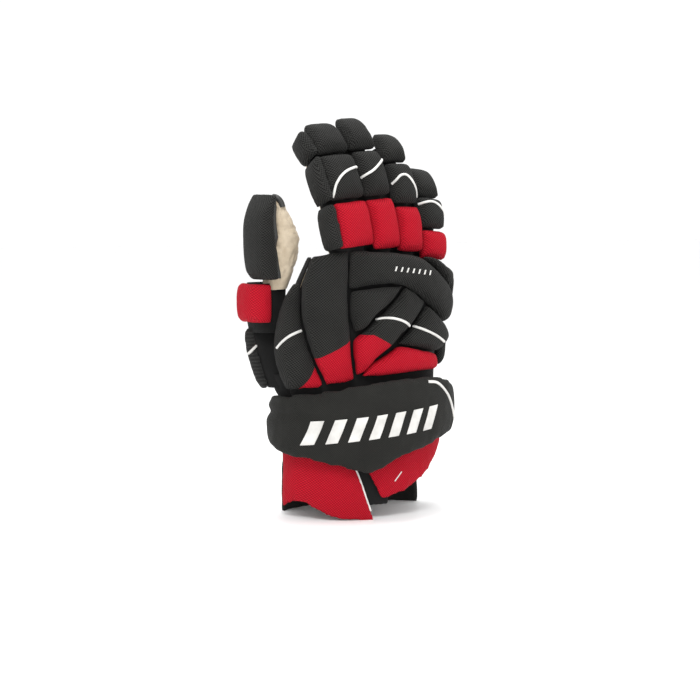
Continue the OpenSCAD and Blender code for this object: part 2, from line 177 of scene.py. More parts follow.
def weave_fabric(name, thread, gap_painted_shade, sheen, pitch=2.3 * MM, relief=0.6 * MM, wear=0.4):
    """Nylon mesh: raised knots on a diagonal grid, read from the piece's weave UVs; the colour is
    lighter on the knots, a painted highlight, and darker in the gaps between them, painted shade.
    """
    n = Nodes(name)
    uv = n.add("ShaderNodeUVMap", uv_map="weave").outputs[0]
    place = n.place()
    drift = n.noise(place, 220.0, 2.0)
    split = n.add("ShaderNodeSeparateXYZ", {0: uv})
    k = 2 * math.pi / pitch
    wobble = n.math("MULTIPLY", drift, 0.9)
    u = n.math("ADD", n.math("MULTIPLY", split.outputs[0], k), wobble)
    v = n.math("ADD", n.math("MULTIPLY", split.outputs[1], k), wobble)
    knots = n.math("MULTIPLY", n.math("SINE", u), n.math("SINE", v))
    knots = n.ramp(knots, -0.75, 0.85)
    fine = n.math("SINE", n.math("MULTIPLY", n.math("ADD", u, v), 2.0))
    height = n.math("ADD", knots, n.math("MULTIPLY", fine, 0.12))
    dust = n.noise(place, 38.0, 4.0, 0.6)
    shade = n.math("MULTIPLY", knots, n.ramp(dust, 0.2, 0.8))
    shade = n.math("ADD", n.math("MULTIPLY", shade, wear), n.math("MULTIPLY", knots, 1 - wear))
    # painted highlight on the raised knots and painted shade in the gaps between them, with
    # random tone from the dust noise
    color = n.mix(shade, rgb(*gap_painted_shade), rgb(*thread))
    folds = n.bump(n.noise(place, 60.0, 2.0), 0.8 * MM, 0.35)
    normal = n.bump(height, relief, 0.9, folds)
    roughness = n.math("MULTIPLY_ADD", knots, -0.18, 0.86)
    return n.finish(color, roughness, normal, Sheen_Weight=sheen, Sheen_Roughness=0.45,
                    Specular_IOR_Level=0.14)


def ribbed_elastic(name, color):
    """Elastic with raised ribs that run level, and fine thread across them; its colour darkens in
    the troughs, painted shade.
    """
    n = Nodes(name)
    place = n.place()
    split = n.add("ShaderNodeSeparateXYZ", {0: place})
    rib = n.wave(split.outputs["Z"], 3.2 * MM)
    thread = n.wave(n.math("ADD", split.outputs["X"], split.outputs["Y"]), 0.9 * MM)
    height = n.math("ADD", rib, n.math("MULTIPLY", thread, 0.25))
    # painted shade: the colour follows the ribs' height, darkest in the troughs
    shade = n.ramp(height, -1.0, 1.2)
    dark = tuple(c * 0.45 for c in color)
    return n.finish(n.mix(shade, rgb(*dark), rgb(*color)), 0.8,
                    n.bump(height, 0.5 * MM, 0.9), Sheen_Weight=0.05, Sheen_Roughness=0.5,
                    Specular_IOR_Level=0.15)


KNIT_PITCH = 1.1 * MM


def knit_cloth(name, color):
    """Fine stretch knit; its colour darkens in the dips between the loops, painted shade, with
    random tone over it.
    """
    n = Nodes(name)
    place = n.place()
    split = n.add("ShaderNodeSeparateXYZ", {0: place})
    rows = n.wave(split.outputs["Z"], KNIT_PITCH)
    columns = n.wave(n.math("ADD", split.outputs["X"], split.outputs["Y"]), KNIT_PITCH)
    height = n.math("MULTIPLY", rows, columns)
    # painted shade in the knit's dips, with random tone from noise over it
    shade = n.ramp(n.math("ADD", height, n.noise(place, 45.0, 3.0)), -0.6, 1.4)
    dark = tuple(c * 0.5 for c in color)
    return n.finish(n.mix(shade, rgb(*dark), rgb(*color)), 0.88,
                    n.bump(height, 0.2 * MM, 0.7), Sheen_Weight=0.05, Sheen_Roughness=0.5,
                    Specular_IOR_Level=0.12)


def suede(name, light, dark, crease=1.0):
    """Soft napped leather: mottled colour, fine grain and shallow creases."""
    n = Nodes(name)
    place = n.place()
    mottle = n.noise(place, 55.0, 5.0, 0.62)
    grain = n.noise(place, 1500.0, 3.0, 0.7)
    cells = n.add("ShaderNodeTexVoronoi", {"Vector": place, "Scale": 900.0},
                  feature="DISTANCE_TO_EDGE").outputs["Distance"]
    creases = n.noise(place, 120.0, 3.0, 0.55)
    color = n.mix(n.ramp(n.math("MULTIPLY_ADD", grain, 0.25, mottle), 0.4, 0.85),
                  rgb(*dark), rgb(*light))
    height = n.math("ADD", n.math("MULTIPLY", grain, 0.5), n.math("MULTIPLY", cells, 0.6))
    folds = n.bump(creases, 1.1 * MM * crease, 0.55)
    normal = n.bump(height, 0.12 * MM, 0.6, folds)
    return n.finish(color, n.ramp(mottle, -1.6, 1.0), normal, Sheen_Weight=0.2,
                    Sheen_Roughness=0.5)


def smooth_synthetic(name, color, rough):
    """Coated synthetic leather or moulded plastic with a faint pebble."""
    n = Nodes(name)
    place = n.place()
    pebble = n.add("ShaderNodeTexVoronoi", {"Vector": place, "Scale": 1300.0}).outputs["Distance"]
    rub = n.noise(place, 70.0, 4.0, 0.6)
    dark = tuple(c * 0.7 for c in color)
    tone = n.mix(n.ramp(rub, 0.3, 0.75), rgb(*dark), rgb(*color))
    return n.finish(tone, n.math("MULTIPLY_ADD", rub, 0.25, rough - 0.12),
                    n.bump(pebble, 0.06 * MM, 0.5), Specular_IOR_Level=0.45)


def plain_floor():
    """Pale, almost even floor."""
    n = Nodes("pale_floor")
    place = n.place()
    tone = n.mix(n.noise(place, 3.0), rgb(0.93, 0.93, 0.93), rgb(0.95, 0.95, 0.95))
    return n.finish(tone, 0.5, None)


# In each weave the first colour is the knots with a painted highlight, and the second is painted
# shade in the gaps between them.
BLACK = weave_fabric("black_weave", (0.040, 0.040, 0.037), (0.001, 0.001, 0.001), sheen=0.03)
BLACK_CUFF = weave_fabric("cuff_weave", (0.034, 0.034, 0.030), (0.003, 0.003, 0.003),
                          pitch=1.5 * MM, relief=0.22 * MM, sheen=0.03)
RED = weave_fabric("red_weave", (0.60, 0.006, 0.026), (0.22, 0.002, 0.006), sheen=0.0, wear=0.2)
RIBBED = ribbed_elastic("elastic_ribs", (0.03, 0.03, 0.029))
CLOTH = knit_cloth("stall_knit", (0.014, 0.014, 0.014))
LINING = knit_cloth("lining_knit", (0.045, 0.045, 0.048))
CREAM = suede("cream_suede", (0.68, 0.58, 0.44), (0.42, 0.33, 0.22))
PATCH = suede("patch_suede", (0.55, 0.45, 0.32), (0.36, 0.28, 0.19), crease=0.5)
WELT = smooth_synthetic("white_welt", (0.80, 0.79, 0.76), rough=0.55)
EDGE = smooth_synthetic("black_binding", (0.045, 0.045, 0.043), rough=0.5)
INSERT = smooth_synthetic("insert_shell", (0.78, 0.77, 0.73), rough=0.45)
BADGE = smooth_synthetic("silver_bars", (0.72, 0.71, 0.68), rough=0.42)
THREAD = smooth_synthetic("stitch_thread", (0.30, 0.27, 0.22), rough=0.8)


# -------- mesh helpers

def new_object(name, data):
    obj = bpy.data.objects.new(name, data)
    bpy.context.scene.collection.objects.link(obj)
    return obj


def from_points(name, points, faces):
    mesh = bpy.data.meshes.new(name)
    mesh.from_pydata([tuple(p) for p in points], [], faces)
    mesh.update()
    return new_object(name, mesh)


def final_mesh(obj):
    """The object's mesh with its modifiers or bevel applied."""
    bpy.context.view_layer.update()
    return bpy.data.meshes.new_from_object(
        obj.evaluated_get(bpy.context.evaluated_depsgraph_get()))


def baked(obj):
    """Applies the object's modifiers and returns it."""
    final = final_mesh(obj)
    obj.modifiers.clear()
    old = obj.data
    obj.data = final
    bpy.data.meshes.remove(old)
    return obj


def coords(obj):
    flat = np.empty(len(obj.data.vertices) * 3)
    obj.data.vertices.foreach_get("co", flat)
    return flat.reshape(-1, 3)


def set_coords(obj, points):
    obj.data.vertices.foreach_set("co", np.asarray(points, float).ravel())
    obj.data.update()


def normals(obj):
    flat = np.empty(len(obj.data.vertices) * 3)
    obj.data.vertices.foreach_get("normal", flat)
    return flat.reshape(-1, 3)


def welded_copy(name, node):
    """A copy of a CAD node with its coinciding corners joined."""
    mesh = nodes[node].data.copy()
    mesh.materials.clear()
    obj = new_object(name, mesh)
    bm = bmesh.new()
    bm.from_mesh(mesh)
    bmesh.ops.remove_doubles(bm, verts=bm.verts, dist=1e-5)
    bm.to_mesh(mesh)
    bm.free()
    return obj


def wander(points, size, seed):
    """Smooth noise from -1 to 1 at each point; size is how far its bumps are apart."""
    shift = Vector((seed * 7.3, seed * 3.1, seed * 5.7))
    return np.array([noise.noise(Vector(p) / size + shift) for p in points])


def smooth_shade(obj):
    obj.data.polygons.foreach_set("use_smooth", [True] * len(obj.data.polygons))


def weave_uv(obj, basis=Matrix.Identity(3), turn=0.0):
    """Lays the weave on each face along the two axes that it faces least, in metres."""
    mesh = obj.data
    layer = mesh.uv_layers.get("weave") or mesh.uv_layers.new(name="weave")
    rot = np.array(basis.transposed())
    points = coords(obj) @ rot.T
    count = len(mesh.polygons)
    flat = np.empty(count * 3)
    mesh.polygons.foreach_get("normal", flat)
    facing = np.abs(flat.reshape(-1, 3) @ rot.T)
    facing[:, 1] *= 1.5
    axis = facing.argmax(axis=1)
    loops = np.empty(len(mesh.loops), dtype=np.int64)
    mesh.loops.foreach_get("vertex_index", loops)
    totals = np.empty(count, dtype=np.int64)
    mesh.polygons.foreach_get("loop_total", totals)
    loop_axis = np.repeat(axis, totals)
    p = points[loops]
    u = np.where(loop_axis == 0, p[:, 1], p[:, 0])
    v = np.where(loop_axis == 2, p[:, 1], p[:, 2])
    c, s = math.cos(turn), math.sin(turn)
    layer.data.foreach_set("uv", np.column_stack([c * u - s * v, s * u + c * v]).ravel())


def remeshed(obj, voxel, rounds):
    """Rebuilds the surface in even faces and smooths it."""
    remesh = obj.modifiers.new("remesh", "REMESH")
    remesh.mode = "VOXEL"
    remesh.voxel_size = voxel
    relax = obj.modifiers.new("relax", "SMOOTH")
    relax.factor = 0.6
    relax.iterations = rounds
    return baked(obj)


def finer(obj):
    subdivision = obj.modifiers.new("finer", "SUBSURF")
    subdivision.levels = subdivision.render_levels = 1
    return baked(obj)


CLOTH_FRAMES = 16


def simulate(pads):
    """Fills the pads by cloth pressure, all in one run, and caps how far each point moves.

    pads holds (piece, most movement, pressure).
    """
    scene = bpy.context.scene
    starts = {}
    for obj, cap, pressure in pads:
        starts[obj] = coords(obj)
        cloth = obj.modifiers.new("stuffing", "CLOTH")
        settings = cloth.settings
        settings.quality = 4
        settings.mass = 0.25
        settings.tension_stiffness = settings.compression_stiffness = 12
        settings.shear_stiffness = 5
        settings.bending_stiffness = 0.4
        settings.air_damping = 3
        settings.use_pressure = True
        settings.uniform_pressure_force = pressure
        settings.shrink_min = -0.05
        settings.effector_weights.gravity = 0
        cloth.collision_settings.use_collision = False
        cloth.point_cache.frame_start, cloth.point_cache.frame_end = 1, CLOTH_FRAMES
    for step in range(1, CLOTH_FRAMES + 1):
        scene.frame_set(step)
    for obj, cap, _ in pads:
        baked(obj)
        points = coords(obj)
        move = points - starts[obj]
        far = np.linalg.norm(move, axis=1)[:, None]
        capped = cap * np.tanh(far / cap) / np.maximum(far, 1e-9)
        set_coords(obj, starts[obj] + move * capped)
    scene.frame_set(1)


def pad_facts(node):
    """(voxel, smoothing rounds, most movement, pressure, swell, lump); lengths in millimetres."""
    if node == "cuff_roll":
        return 3.6, 6, 2.6, 5.0, 0.2, 0.9
    if node in ("cuff_flap_thumb", "cuff_flap_pinky", "cuff_palm_panel"):
        return 2.0, 3, 0.5, 1.5, 0.1, 0.6
    if node == "ribbed_side_roll":
        return 2.0, 2, 0.5, 2.0, 1.1, 0.3
    if node in HAND_ROLLS:
        return 2.2, 6, 0.9, 4.0, 0.3, 0.5
    return 2.0, 5, 0.7, 4.0, 0.3, 0.35


def make_pads():
    """A stuffed, slightly uneven copy of every roll and flap, with its cloth simulated."""
    made = {}
    queue = []
    for node in PAD_NODES:
        voxel, rounds, cap, pressure = pad_facts(node)[:4]
        obj = remeshed(welded_copy(f"{node}_cover", node), voxel * MM, rounds)
        made[node] = obj
        queue.append((obj, cap * MM, pressure))
    simulate(queue)
    for seed, (node, obj) in enumerate(made.items()):
        swell, lump = (v * MM for v in pad_facts(node)[4:])
        points = coords(obj)
        bulge = (swell + lump * wander(points, 13 * MM, seed)
                 + 0.4 * lump * wander(points, 5 * MM, seed))
        set_coords(obj, points + normals(obj) * bulge[:, None])
        finer(obj)
        smooth_shade(obj)
    return made


def in_frame(obj, origin, basis):
    """The piece's points in a frame of its own."""
    return (coords(obj) - np.array(origin)) @ np.array(basis)


def put_back(obj, local, origin, basis):
    """Writes points that in_frame() gave, once they have been moved."""
    set_coords(obj, np.array(origin) + local @ np.array(basis).T)


def domed(obj, origin, basis, start, narrow, flat):
    """Rounds a roll's far end: it narrows and flattens towards its top."""
    local = in_frame(obj, origin, basis)
    low, high = local.min(axis=0), local.max(axis=0)
    t = np.clip((local[:, 2] - low[2]) / (high[2] - low[2]) - start, 0, 1) / (1 - start)
    middle = (low[0] + high[0]) / 2
    local[:, 0] = middle + (local[:, 0] - middle) * np.sqrt(1 - narrow * t ** 3)
    local[:, 1] = high[1] + (local[:, 1] - high[1]) * np.sqrt(1 - flat * t ** 3)
    put_back(obj, local, origin, basis)


def shortened(obj, origin, basis, keep):
    """Scales a piece along its basis' third axis, about its middle."""
    local = in_frame(obj, origin, basis)
    middle = (local[:, 2].min() + local[:, 2].max()) / 2
    local[:, 2] = middle + (local[:, 2] - middle) * keep
    put_back(obj, local, origin, basis)


def two_tone(obj, lower, upper, cuts):
    """Cuts the piece along planes and gives the side behind all of them the lower material."""
    bm = bmesh.new()
    bm.from_mesh(obj.data)
    for at, normal in cuts:
        bmesh.ops.bisect_plane(bm, geom=bm.verts[:] + bm.edges[:] + bm.faces[:],
                               plane_co=at, plane_no=normal, dist=1e-6)
    bm.to_mesh(obj.data)
    bm.free()
    obj.data.materials.clear()
    obj.data.materials.append(upper)
    obj.data.materials.append(lower)
    for face in obj.data.polygons:
        face.material_index = int(all((face.center - at).dot(normal) < 0
                                      for at, normal in cuts))


def finish_piece(obj, material, body, *stands_for):
    """Gives a piece its material and body; None keeps the materials that it has."""
    if material is not None:
        obj.data.materials.clear()
        obj.data.materials.append(material)
    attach(obj, body)
    if stands_for:
        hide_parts(*stands_for)
    return obj


def skin_of(*objs):
    """One search tree over the surfaces of these pieces."""
    points, faces = [], []
    for obj in objs:
        base = len(points)
        points += [v.co.copy() for v in obj.data.vertices]
        faces += [[base + i for i in p.vertices] for p in obj.data.polygons]
    return BVHTree.FromPolygons(points, faces)


# how far before a point a ray towards a surface starts
RAY_START = 80 * MM


def laid_on(tree, line, toward, steps, lift=0.0):
    """Points along a line, dropped onto a surface in a direction."""
    out = []
    for i in range(steps + 1):
        s = i / steps * (len(line) - 1)
        k = min(int(s), len(line) - 2)
        p = line[k].lerp(line[k + 1], s - k)
        hit = tree.ray_cast(p - toward * RAY_START, toward)[0]
        if hit is not None:
            out.append(hit - toward * lift)
    return out


def curved(points, steps=8):
    """A smooth line through the points (Catmull-Rom)."""
    ends = [points[0] * 2 - points[1]] + list(points) + [points[-1] * 2 - points[-2]]
    out = []
    for i in range(1, len(ends) - 2):
        a, b, c, d = ends[i - 1:i + 3]
        for j in range(steps):
            t = j / steps
            out.append(0.5 * (2 * b + (c - a) * t + (2 * a - 5 * b + 4 * c - d) * t * t
                              + (3 * b - a - 3 * c + d) * t ** 3))
    out.append(points[-1])
    return out


def averaged(path, reach):
    """The path with each point moved to the middle of its neighbours."""
    out = []
    for i in range(len(path)):
        near = path[max(0, i - reach):i + reach + 1]
        out.append(sum(near, Vector()) / len(near))
    return out


def cordlet(name, points, radius):
    """A thin raised line along points, as a mesh tube."""
    curve = bpy.data.curves.new(name, "CURVE")
    curve.dimensions = "3D"
    curve.bevel_depth = radius
    curve.bevel_resolution = 3
    curve.use_fill_caps = True
    spline = curve.splines.new("POLY")
    spline.points.add(len(points) - 1)
    for p, q in zip(spline.points, points):
        p.co = (*q, 1)
    obj = new_object(name, curve)
    mesh = final_mesh(obj)
    bpy.data.objects.remove(obj)
    tube = new_object(name, mesh)
    smooth_shade(tube)
    return tube


# -------- finger frames

def local_frame(finger, k):
    """(hinge point, basis) of a finger piece; the basis columns are across, palm and tip."""
    names = [f"{finger}_{h}" for h in HINGES]
    axis = hinge_axis[names[k]]
    if k < 2:
        up = (hinge_at[names[k + 1]] - hinge_at[names[k]]).normalized()
    else:
        before = (hinge_at[names[2]] - hinge_at[names[1]]).normalized()
        up = Matrix.Rotation(TIP_BEND, 3, axis) @ before
    across = -axis
    return hinge_at[names[k]], Matrix((across, up.cross(across), up)).transposed()


# -------- stuffed rolls

WEAVE_TURN = math.radians(6)
# share of its length that a finger roll keeps, so that the rolls clear each other when bent back
ROLL_KEEP = 0.955
HAND_ROLLS = ("index_back_roll", "knuckle_roll", "pinky_knuckle_roll", "triangle_roll",
              "diagonal_roll", "pinky_diagonal_roll", "wrist_roll", "thumb_side_roll",
              "pinky_side_roll", "pinky_heel_roll")
FINGER_ROLLS = [f"{f}_{s}_roll" for f in FINGERS for s in SEGMENTS]
SIDE_ROLLS = [f"index_side_{s}_roll" for s in SEGMENTS]
THUMB_ROLLS = ["thumb_base_roll", "thumb_roll"]
CUFF_PADS = ["cuff_roll", "cuff_flap_thumb", "cuff_flap_pinky", "cuff_palm_panel"]
PAD_NODES = [*HAND_ROLLS, *FINGER_ROLLS, *SIDE_ROLLS, *THUMB_ROLLS, "ribbed_side_roll",
             *CUFF_PADS]
QUARTER_TURN = Matrix.Rotation(math.radians(90), 3, "Z")
# where the white welt crosses each middle roll: (share across, share of the height)
WELT_LINES = {
    "index": ((0.02, 0.06), (0.14, 0.32), (0.45, 0.52), (0.98, 0.64)),
    "middle": ((0.02, 0.40), (0.4, 0.50), (0.98, 0.76)),
    "ring": ((0.02, 0.46), (0.30, 0.62), (0.60, 0.56), (0.98, 0.14)),
    "pinky": ((0.02, 0.74), (0.5, 0.76), (0.98, 0.40)),
}


def finger_rolls(pads):
    for finger in FINGERS:
        for k, segment in enumerate(SEGMENTS):
            body = f"{finger}_{segment}"
            node = f"{body}_roll"
            origin, basis = local_frame(finger, k)
            shortened(pads[node], origin, basis, ROLL_KEEP)
            if k == 2:
                domed(pads[node], origin, basis, start=0.35, narrow=0.52, flat=0.5)
            weave_uv(pads[node], basis, WEAVE_TURN)
            finish_piece(pads[node], RED if k == 0 else BLACK, body, node)
            if k == 1:
                line_over(pads[node], finger, origin, basis, body)
            if finger == "index":
                side = f"index_side_{segment}_roll"
                shortened(pads[side], origin, basis, ROLL_KEEP)
                if k == 2:
                    domed(pads[side], origin, basis, start=0.35, narrow=0.45, flat=0.3)
                weave_uv(pads[side], QUARTER_TURN @ basis, WEAVE_TURN)
                finish_piece(pads[side], BLACK, body, side)


def line_over(roll, finger, origin, basis, body):
    """White welt across the back of a finger's middle roll."""
    local = in_frame(roll, origin, basis)
    low, high = local.min(axis=0), local.max(axis=0)
    across, palm, up = basis.col
    line = [origin + across * (low[0] + (high[0] - low[0]) * s)
            + up * (low[2] + (high[2] - low[2]) * t) for s, t in WELT_LINES[finger]]
    path = laid_on(skin_of(roll), curved(line), palm, 40)
    finish_piece(cordlet(f"{finger}_welt", path, 1.15 * MM), WELT, body)


# -------- cloth tubes

RING_POINTS = 36
# a stall's cloth turns from one finger piece to the next over this length on each side
FOLD_SPAN = 6 * MM
STALL_STEPS = 26
# length of a fingertip's rounding
DOME = 9 * MM
# how far the lowest stall reaches below its knuckle, and a stall past the middle of its piece
BELOW_KNUCKLE = 9 * MM
OVERLAP = 1 * MM
SHORT_OF_TIP = 1 * MM


def section(centre, across, palm, width, y_low, y_high, scale=1.0):
    """Rounded oblong ring round a centre line."""
    out = []
    mid, half = (y_low + y_high) / 2, (y_high - y_low) / 2
    for i in range(RING_POINTS):
        a = 2 * math.pi * i / RING_POINTS
        c, s = math.cos(a), math.sin(a)
        x = math.copysign(abs(c) ** 0.7, c) * width / 2 * scale
        y = mid + math.copysign(abs(s) ** 0.7, s) * half * scale
        out.append(centre + across * x + palm * y)
    return out


def loft(name, rings, cap=False):
    """A tube through rings that have the same number of points."""
    points = [p for ring in rings for p in ring]
    n = len(rings[0])
    faces = [(i * n + j, i * n + (j + 1) % n, (i + 1) * n + (j + 1) % n, (i + 1) * n + j)
             for i in range(len(rings) - 1) for j in range(n)]
    if cap:
        faces.append(tuple((len(rings) - 1) * n + j for j in range(n)))
    return from_points(name, points, faces)


def walled(obj, thickness):
    """Gives a tube's cloth its thickness, inwards."""
    wall = obj.modifiers.new("wall", "SOLIDIFY")
    wall.thickness = thickness
    wall.offset = -1
    finer(obj)
    smooth_shade(obj)


def stall_sleeves():
    """Cloth tubes of the finger stalls; each bends over the joint below it."""
    for number, finger in enumerate(FINGERS):
        for k, segment in enumerate(SEGMENTS):
            body = f"{finger}_{segment}"
            origin, basis = local_frame(finger, k)
            local = in_frame(nodes[f"{body}_stall"], origin, basis)
            width = local[:, 0].max() - local[:, 0].min()
            y_low, y_high, top = local[:, 1].min(), local[:, 1].max(), local[:, 2].max()
            if k:
                under = local_frame(finger, k - 1)[1]
                start = -(origin - local_frame(finger, k - 1)[0]).length / 2
            else:
                under = Matrix.Rotation(-KNUCKLE_BEND, 3, -basis.col[0]) @ basis
                start = -BELOW_KNUCKLE
            if k == 2:
                end = top - SHORT_OF_TIP
            else:
                end = (local_frame(finger, k + 1)[0] - origin).length / 2 + OVERLAP
            rings = []
            for i in range(STALL_STEPS + 1):
                s = start + (end - start) * i / STALL_STEPS
                bend = min(max(0.5 + s / (2 * FOLD_SPAN), 0), 1)
                mixed = under.to_quaternion().slerp(basis.to_quaternion(), bend).to_matrix()
                up = (under if s < 0 else basis).col[2]
                fold = math.exp(-(s / (7 * MM)) ** 2) * math.sin(s / MM * 1.7 + number)
                scale = 0.985 + 0.03 * fold
                if k == 2 and s > end - DOME:
                    scale *= math.sqrt(max(0.02, 1 - ((s - end + DOME) / DOME) ** 2))
                rings.append(section(origin + up * s, mixed.col[0], mixed.col[1],
                                     width, y_low, y_high, scale))
            sleeve = loft(f"{body}_cloth", rings, cap=k == 2)
            split_leather(sleeve, origin, basis, y_low, y_high)
            walled(sleeve, 0.9 * MM)
            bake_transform(sleeve)
            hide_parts(f"{body}_stall")


# share of a stall's depth at which its cloth sides meet the leather of its palm face
LEATHER_FROM = 0.72


def split_leather(obj, origin, basis, y_low, y_high):
    """Leather on the palm face of a stall, cloth on its other sides."""
    obj.data.materials.append(CLOTH)
    obj.data.materials.append(CREAM)
    local = in_frame(obj, origin, basis)
    limit = y_low + LEATHER_FROM * (y_high - y_low)
    for face in obj.data.polygons:
        depth = np.mean([local[i][1] for i in face.vertices])
        face.material_index = int(depth > limit)


SLEEVE_POINTS = 48
SLEEVE_REACH = 130 * MM


def inner_ring(tree, middle, z, inset):
    """Ring just inside the walls met from a centre at one height; gaps are bridged."""
    centre = Vector((*middle, z))
    turns = [2 * math.pi * i / SLEEVE_POINTS for i in range(SLEEVE_POINTS)]
    ways = [Vector((math.cos(a), math.sin(a), 0)) for a in turns]
    hits = [tree.ray_cast(centre, way, SLEEVE_REACH)[0] for way in ways]
    known = [i for i, hit in enumerate(hits) if hit is not None]
    reach = np.interp(range(SLEEVE_POINTS), known, [(hits[i] - centre).length for i in known],
                      period=SLEEVE_POINTS)
    return [centre + way * (r - inset) for way, r in zip(ways, reach)]


# heights in millimetres of the sleeve's rings inside the cuff and inside the hand
SLEEVE_IN_CUFF = (72, 80)
SLEEVE_IN_HAND = (117, 122, 127)


def wrist_sleeve():
    """Soft cloth inside the glove that joins the hand to the cuff."""
    hand = skin_of(nodes["back_panel"], nodes["palm_panel"], nodes["thumb_gusset"])
    cuff_wall = skin_of(nodes["cuff_lining"], nodes["cuff_palm_panel"])
    middle = (CENTRE.x, 0.002)
    low = [inner_ring(cuff_wall, middle, z * MM, 1.2 * MM) for z in SLEEVE_IN_CUFF]
    top = [inner_ring(hand, middle, z * MM, 0.9 * MM) for z in SLEEVE_IN_HAND]
    between = []
    for i in range(1, 9):
        s = i / 9
        eased = s * s * (3 - 2 * s)
        fold = 1.2 * MM * math.sin(s * math.pi) * math.sin(s * 19)
        between.append([a.lerp(b, eased) + (b - Vector((*middle, b.z))).normalized() * fold
                        for a, b in zip(low[-1], top[0])])
    sleeve = loft("wrist_sleeve", low + between + top)
    sleeve.data.materials.append(CLOTH)
    walled(sleeve, 0.8 * MM)
    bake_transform(sleeve)


# -------- back of the hand

RED_ROLLS = ("wrist_roll",)
# Places on a piece, here and below: millimetres from its box's low X and low Z, see places_on.
# planes (place, normal's X and Z) under which a roll is red
RED_BELOW = {
    "index_back_roll": [((27, 32), (-15, 29))],
    "thumb_side_roll": [((25, 16), (-30, 16))],
    "diagonal_roll": [((16, 35.5), (0, 1)), ((24, 30.5), (10.5, 19.7))],
}
BACKHAND_WELTS = {
    "diagonal_roll": ((17, 47), (25, 49.5), (34, 49.5), (44, 46.5), (52, 42)),
    "pinky_diagonal_roll": ((11, 26), (24, 21.5), (38, 15.5), (50, 9)),
}
THUMB_SIDE_WELT = ((-14, 38), (-7, 44), (2, 49.5), (14, 54), (24, 56))
RIB_WELT = ((0, 25), (5, 32), (11, 37), (19, 39))
# equal small slanted ticks on the knuckle roll, in millimetres; each next one stands lower
TICK_COUNT, TICK_STEP, TICK_DROP = 7, 6, 0.72
TICK_WIDTH, TICK_HEIGHT, TICK_LEAN = 1.6, 4, 0.4
FIRST_TICK = (40, 47.6)
TOWARD_PALM = Vector((0, 1, 0))
FROM_THUMB_SIDE = Vector((0.55, 0.83, 0)).normalized()
# Y in millimetres of the places before they are laid on a surface
IN_FRONT = -30
IN_FRONT_OF_SIDE = -34


def places_on(node, places, y=IN_FRONT):
    """Points from places that count from a box's low corner, taken to whole millimetres."""
    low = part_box(node)[0]
    x_low, z_low = round(low.x / MM), round(low.z / MM)
    return [Vector((x_low + x, y, z_low + z)) * MM for x, z in places]


def slanted(name, tree, foot, width, height, rise, lean, **plate):
    """A slanted plate with its lower left corner at foot.

    Width, height and rise over the width are in millimetres; lean is sideways per height.
    """
    wide = Vector((width, 0, rise)) * MM
    slide = Vector((lean, 0, 1)) * height * MM
    corners = (foot, foot + wide, foot + wide + slide, foot + slide)
    return plate_on(name, tree, corners, **plate)


def backhand(pads):
    """The rolls on the back and sides of the hand, with their red zones, welts and ticks."""
    for node in HAND_ROLLS:
        roll = pads[node]
        weave_uv(roll, turn=WEAVE_TURN)
        if node in RED_BELOW:
            cuts = [(places_on(node, [place])[0], Vector((x, 0, z)).normalized())
                    for place, (x, z) in RED_BELOW[node]]
            two_tone(roll, RED, BLACK, cuts)
            finish_piece(roll, None, "hand", node)
        else:
            finish_piece(roll, RED if node in RED_ROLLS else BLACK, "hand", node)
        if node in BACKHAND_WELTS:
            line = places_on(node, BACKHAND_WELTS[node])
            path = laid_on(skin_of(roll), curved(line), TOWARD_PALM, 48)
            finish_piece(cordlet(f"{node}_welt", path, 1.2 * MM), WELT, "hand")
        if node == "thumb_side_roll":
            line = places_on(node, THUMB_SIDE_WELT, y=IN_FRONT_OF_SIDE)
            path = laid_on(skin_of(roll), curved(line), FROM_THUMB_SIDE, 48)
            finish_piece(cordlet("thumb_side_welt", path, 1.2 * MM), WELT, "hand")
    tree = skin_of(pads["knuckle_roll"])
    foot = places_on("knuckle_roll", [FIRST_TICK])[0]
    step = Vector((TICK_STEP, 0, -TICK_DROP)) * MM
    for i in range(TICK_COUNT):
        tick = slanted(f"knuckle_tick_{i + 1}", tree, foot + step * i, TICK_WIDTH, TICK_HEIGHT,
                       rise=0, lean=TICK_LEAN, columns=2, rows=4, lift=0.15 * MM,
                       thick=0.4 * MM)
        finish_piece(tick, BADGE, "hand")


def smooth_sheet(name, node, material, body, lump, seed=1.0):
    """Turns a thin CAD sheet into a smooth, slightly uneven one."""
    obj = finer(welded_copy(name, node))
    points = coords(obj)
    out = points - points.mean(axis=0)
    out[:, 2] = 0
    out /= np.linalg.norm(out, axis=1)[:, None] + 1e-9
    set_coords(obj, points + out * (lump * wander(points, 14 * MM, seed))[:, None])
    smooth_shade(obj)
    weave_uv(obj, turn=WEAVE_TURN)
    return finish_piece(obj, material, body, node)


def repaint(node, material):
    """A better material on a CAD node that stays."""
    nodes[node].data.materials.clear()
    nodes[node].data.materials.append(material)


RIB_SHIFT = 1.3 * MM


def hand_sheets(pads):
    """Palm, back and side cloths, the crotch panel in black knit as painted shade, and the ribbed
    side piece.
    """
    smooth_sheet("back_cloth", "back_panel", CLOTH, "hand", lump=0.2 * MM)
    smooth_sheet("palm_leather", "palm_panel", CREAM, "hand", lump=0.6 * MM, seed=2.0)
    patch = smooth_sheet("palm_grip_patch", "palm_patch", PATCH, "hand", lump=0.6 * MM, seed=2.0)
    patch_stitches(patch)
    # painted shade: the crotch panel is given the black knit so that it stands in for the shadow
    # in the crotch
    smooth_sheet("crotch_shadow_sheet", "crotch_panel", CLOTH, "hand", lump=0.3 * MM)
    smooth_sheet("thumb_gusset_cloth", "thumb_gusset", CLOTH, "hand", lump=0.3 * MM)
    ribs = pads["ribbed_side_roll"]
    set_coords(ribs, coords(ribs) + np.array((RIB_SHIFT, 0, 0)))
    finish_piece(ribs, RIBBED, "hand", "ribbed_side_roll")
    line = places_on("ribbed_side_roll", RIB_WELT)
    path = laid_on(skin_of(ribs), curved(line), TOWARD_PALM, 40)
    finish_piece(cordlet("ribbed_side_welt", path, 1.3 * MM), WELT, "hand")
    repaint("back_insert", INSERT)


